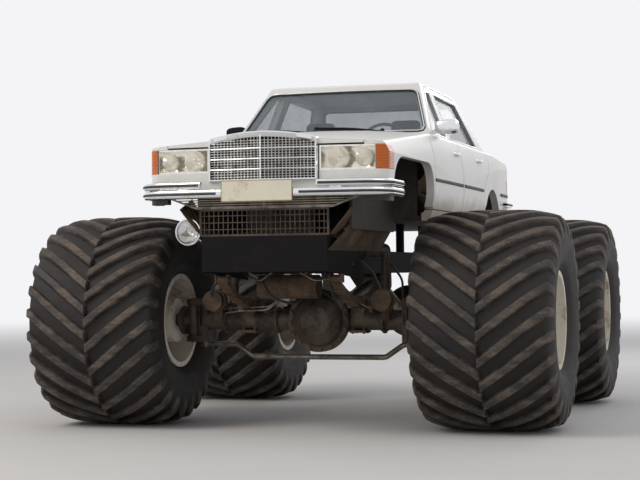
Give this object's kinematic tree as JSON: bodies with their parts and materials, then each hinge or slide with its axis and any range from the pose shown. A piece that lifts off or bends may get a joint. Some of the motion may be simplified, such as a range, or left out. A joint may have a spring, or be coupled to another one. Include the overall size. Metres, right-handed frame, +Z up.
{
  "type": "monster truck",
  "caption": "Four-door saloon body on a lorry ladder frame with driven beam axles and very wide chevron tyres; it rolls, steers and opens its doors, hood and boot.",
  "frame": {"origin": "on the ground under the middle of the overall box", "axes": "front faces -Y, +X is the vehicle's left, +Z up"},
  "size_m": [3.957, 4.96, 2.745],
  "materials": {
    "body_paint": "faded gloss",
    "underbody_paint": "matt",
    "window_glass": "clear",
    "bright_chrome": "polished",
    "grille_dark": "matt",
    "lamp_housing": "polished",
    "lamp_glass": "ribbed",
    "amber_lens": "gloss",
    "red_lens": "gloss",
    "black_rubber": "matt",
    "black_paint": "satin",
    "worn_iron": "greasy",
    "bare_steel": "dull",
    "seat_cloth": "matt",
    "dash_plastic": "matt",
    "tyre_rubber": "dusty",
    "rim_paint": "satin"
  },
  "bodies": {
    "chassis": {"roof": "body_paint", "side_frame_left": "body_paint", "side_frame_right": "body_paint", "front_fenders": "body_paint", "cowl": "body_paint", "nose_panel": "body_paint", "rear_panels": "body_paint", "floor_pan": "underbody_paint", "screens": "window_glass", "front_bumper": "bright_chrome", "rear_bumper": "bright_chrome", "lower_grille": "bright_chrome", "radiator_guard": "grille_dark", "headlamps": "lamp_housing", "spot_lamp": "lamp_housing", "lamp_lenses": "lamp_glass", "indicators": "amber_lens", "tail_lamps": "red_lens", "bumper_rubbers": "black_rubber", "front_shield": "black_paint", "frame_rails": "black_paint", "cross_members": "black_paint", "dampers": "black_paint", "air_brakes": "black_paint", "front_axle": "worn_iron", "rear_axle": "worn_iron", "transmission": "worn_iron", "engine": "worn_iron", "prop_shafts": "bare_steel", "leaf_springs": "bare_steel", "seats": "seat_cloth", "dashboard": "dash_plastic"},
    "hood": {"hood": "body_paint", "grille_shell": "bright_chrome", "grille_insert": "grille_dark"},
    "boot_lid": {"trunk_lid": "body_paint"},
    "tie_rod": {"tie_rod": "bare_steel"},
    "door_front_left": {"door_front_left": "body_paint", "glass_front_left": "window_glass", "mirror_left": "bright_chrome"},
    "door_rear_left": {"door_rear_left": "body_paint", "glass_rear_left": "window_glass"},
    "knuckle_left": {"knuckle_left": "worn_iron"},
    "wheel_front_left": {"tyre_front_left": "tyre_rubber", "rim_front_left": "rim_paint"},
    "wheel_rear_left": {"tyre_rear_left": "tyre_rubber", "rim_rear_left": "rim_paint"},
    "door_front_right": {"door_front_right": "body_paint", "glass_front_right": "window_glass", "mirror_right": "bright_chrome"},
    "door_rear_right": {"door_rear_right": "body_paint", "glass_rear_right": "window_glass"},
    "knuckle_right": {"knuckle_right": "worn_iron"},
    "wheel_front_right": {"tyre_front_right": "tyre_rubber", "rim_front_right": "rim_paint"},
    "wheel_rear_right": {"tyre_rear_right": "tyre_rubber", "rim_rear_right": "rim_paint"}
  },
  "joints": [
    {"name": "steer_left", "type": "hinge", "parent": "chassis", "child": "knuckle_left", "pos_m": [0.9, -1.375, 0.8015], "axis": [0, 0, 1], "range_deg": [-25, 25]},
    {"name": "roll_front_left", "type": "hinge", "parent": "knuckle_left", "child": "wheel_front_left", "pos_m": [1.461, -1.375, 0.8015], "axis": [1, 0, 0], "continuous": true},
    {"name": "open_door_front_left", "type": "hinge", "parent": "chassis", "child": "door_front_left", "pos_m": [0.927, -0.948, 2.115], "axis": [0, 0, -1], "range_deg": [0, 65]},
    {"name": "roll_rear_left", "type": "hinge", "parent": "chassis", "child": "wheel_rear_left", "pos_m": [1.461, 1.274, 0.8015], "axis": [1, 0, 0], "continuous": true},
    {"name": "open_door_rear_left", "type": "hinge", "parent": "chassis", "child": "door_rear_left", "pos_m": [0.927, 0.102, 2.115], "axis": [0, 0, -1], "range_deg": [0, 65]},
    {"name": "steer_right", "type": "hinge", "parent": "chassis", "child": "knuckle_right", "pos_m": [-0.9, -1.375, 0.8015], "axis": [0, 0, 1], "range_deg": [-25, 25]},
    {"name": "roll_front_right", "type": "hinge", "parent": "knuckle_right", "child": "wheel_front_right", "pos_m": [-1.461, -1.375, 0.8015], "axis": [1, 0, 0], "continuous": true},
    {"name": "open_door_front_right", "type": "hinge", "parent": "chassis", "child": "door_front_right", "pos_m": [-0.927, -0.948, 2.115], "axis": [0, 0, 1], "range_deg": [0, 65]},
    {"name": "roll_rear_right", "type": "hinge", "parent": "chassis", "child": "wheel_rear_right", "pos_m": [-1.461, 1.274, 0.8015], "axis": [1, 0, 0], "continuous": true},
    {"name": "open_door_rear_right", "type": "hinge", "parent": "chassis", "child": "door_rear_right", "pos_m": [-0.927, 0.102, 2.115], "axis": [0, 0, 1], "range_deg": [0, 65]},
    {"name": "tie_rod_pivot", "type": "hinge", "parent": "knuckle_left", "child": "tie_rod", "pos_m": [0.9, -1.125, 0.6072], "axis": [0, 0, 1], "range_deg": [-25, 25]},
    {"name": "open_hood", "type": "hinge", "parent": "chassis", "child": "hood", "pos_m": [0, -0.868, 2.268], "axis": [-1, 0, 0], "range_deg": [0, 60]},
    {"name": "open_boot_lid", "type": "hinge", "parent": "chassis", "child": "boot_lid", "pos_m": [0, 1.62, 2.268], "axis": [1, 0, 0], "range_deg": [0, 70]}
  ],
  "couplings": [
    {"joint": "steer_right", "follows": "steer_left", "ratio": 1},
    {"joint": "tie_rod_pivot", "follows": "steer_left", "ratio": -1}
  ]
}
